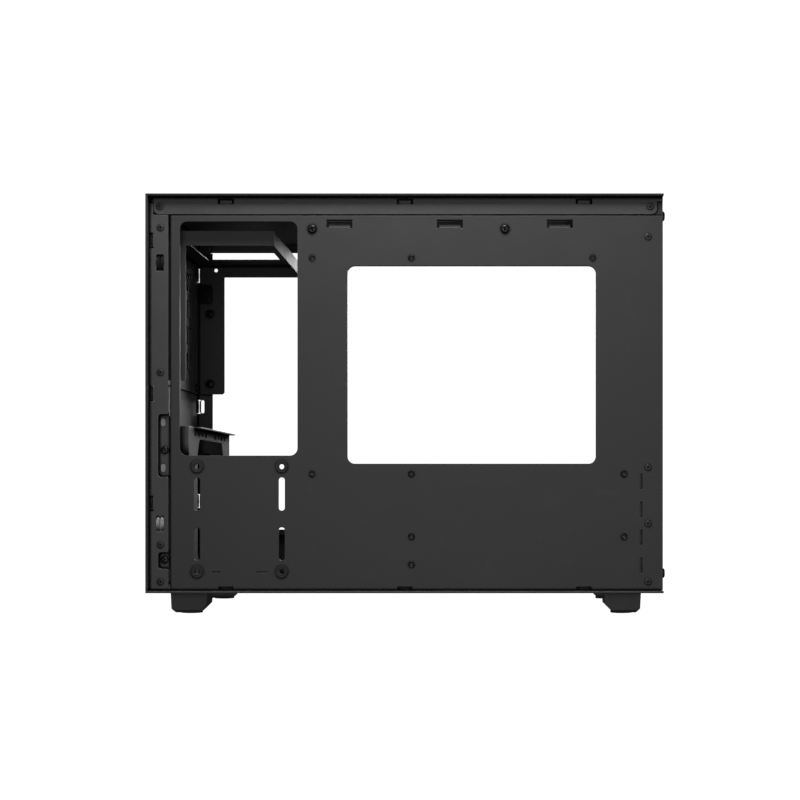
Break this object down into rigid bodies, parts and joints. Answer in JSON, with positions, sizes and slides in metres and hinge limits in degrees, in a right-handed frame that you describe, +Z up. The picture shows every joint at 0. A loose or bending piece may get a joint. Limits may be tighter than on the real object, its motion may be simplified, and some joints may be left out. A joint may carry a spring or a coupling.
{
  "type": "micro atx computer case",
  "caption": "Open steel tower case for a micro ATX board, side panels off, with a supply bracket, a fan and drive bracket, card slots, rear inlet and front ports.",
  "frame": {"origin": "centre of the bounding box's footprint, on the floor under the feet", "axes": "+X to the case's right side, where the board tray is; +Y to the rear; +Z up"},
  "size_m": [0.21, 0.378, 0.306],
  "materials": {
    "black_powder_coat": "fine matte black powder coat on steel sheet",
    "black_zinc": "black plated steel fasteners, low sheen",
    "black_plastic": "moulded black plastic, fine grain",
    "grey_plastic": "moulded light grey plastic",
    "button_plastic": "satin black button caps",
    "spring_steel": "bent bare spring steel",
    "black_rubber": "soft matte rubber",
    "plated_steel": "plated connector shells",
    "pin_brass": "plated inlet pins",
    "board_laminate": "solder-masked circuit board",
    "light_lens": "clear moulded light guide"
  },
  "bodies": {
    "chassis": {"audio_jack": "black_plastic", "board_standoffs": "black_zinc", "bottom_frame": "black_powder_coat", "bottom_plate": "black_powder_coat", "catch_left_lower": "spring_steel", "catch_left_upper": "black_zinc", "catch_right_lower": "spring_steel", "catch_right_upper": "black_zinc", "chassis_rivets": "black_zinc", "drive_grommets": "black_rubber", "foot_front_left": "black_plastic", "foot_front_right": "black_plastic", "foot_pads": "black_rubber", "foot_rear_left": "black_plastic", "foot_rear_right": "black_plastic", "foot_screws": "black_zinc", "front_frame": "black_powder_coat", "front_panel": "black_powder_coat", "front_panel_clips": "black_plastic", "housing_pegs": "grey_plastic", "inlet_pins": "pin_brass", "inlet_screws": "black_zinc", "lower_bracket_screws": "black_zinc", "lower_front_bracket": "black_powder_coat", "motherboard_tray": "black_powder_coat", "panel_screws": "black_zinc", "port_board": "board_laminate", "port_board_screws": "black_zinc", "port_housing": "black_plastic", "port_housing_screws": "black_zinc", "power_inlet": "black_plastic", "power_light": "light_lens", "power_switch": "black_plastic", "rear_panel": "black_powder_coat", "reset_switch": "black_plastic", "slot_cover_1": "black_powder_coat", "slot_cover_2": "black_powder_coat", "slot_cover_3": "black_powder_coat", "slot_cover_4": "black_powder_coat", "slot_cover_screws": "black_zinc", "supply_bracket": "black_powder_coat", "supply_bracket_screws": "black_zinc", "top_cover": "black_powder_coat", "top_frame": "black_powder_coat", "tray_screws": "black_zinc", "usb_c_port": "plated_steel", "usb_port_lower": "plated_steel", "usb_port_upper": "plated_steel"},
    "power_button": {"power_button": "button_plastic", "power_plunger": "black_plastic"},
    "reset_button": {"reset_button": "button_plastic", "reset_plunger": "black_plastic"}
  },
  "joints": [
    {"name": "power_press", "type": "slide", "parent": "chassis", "child": "power_button", "axis": [0, 1, 0], "range_m": [0, 0.001], "stiffness_N_per_m": 300, "springref_m": -0.0005},
    {"name": "reset_press", "type": "slide", "parent": "chassis", "child": "reset_button", "axis": [0, 1, 0], "range_m": [0, 0.001], "stiffness_N_per_m": 300, "springref_m": -0.0005}
  ]
}
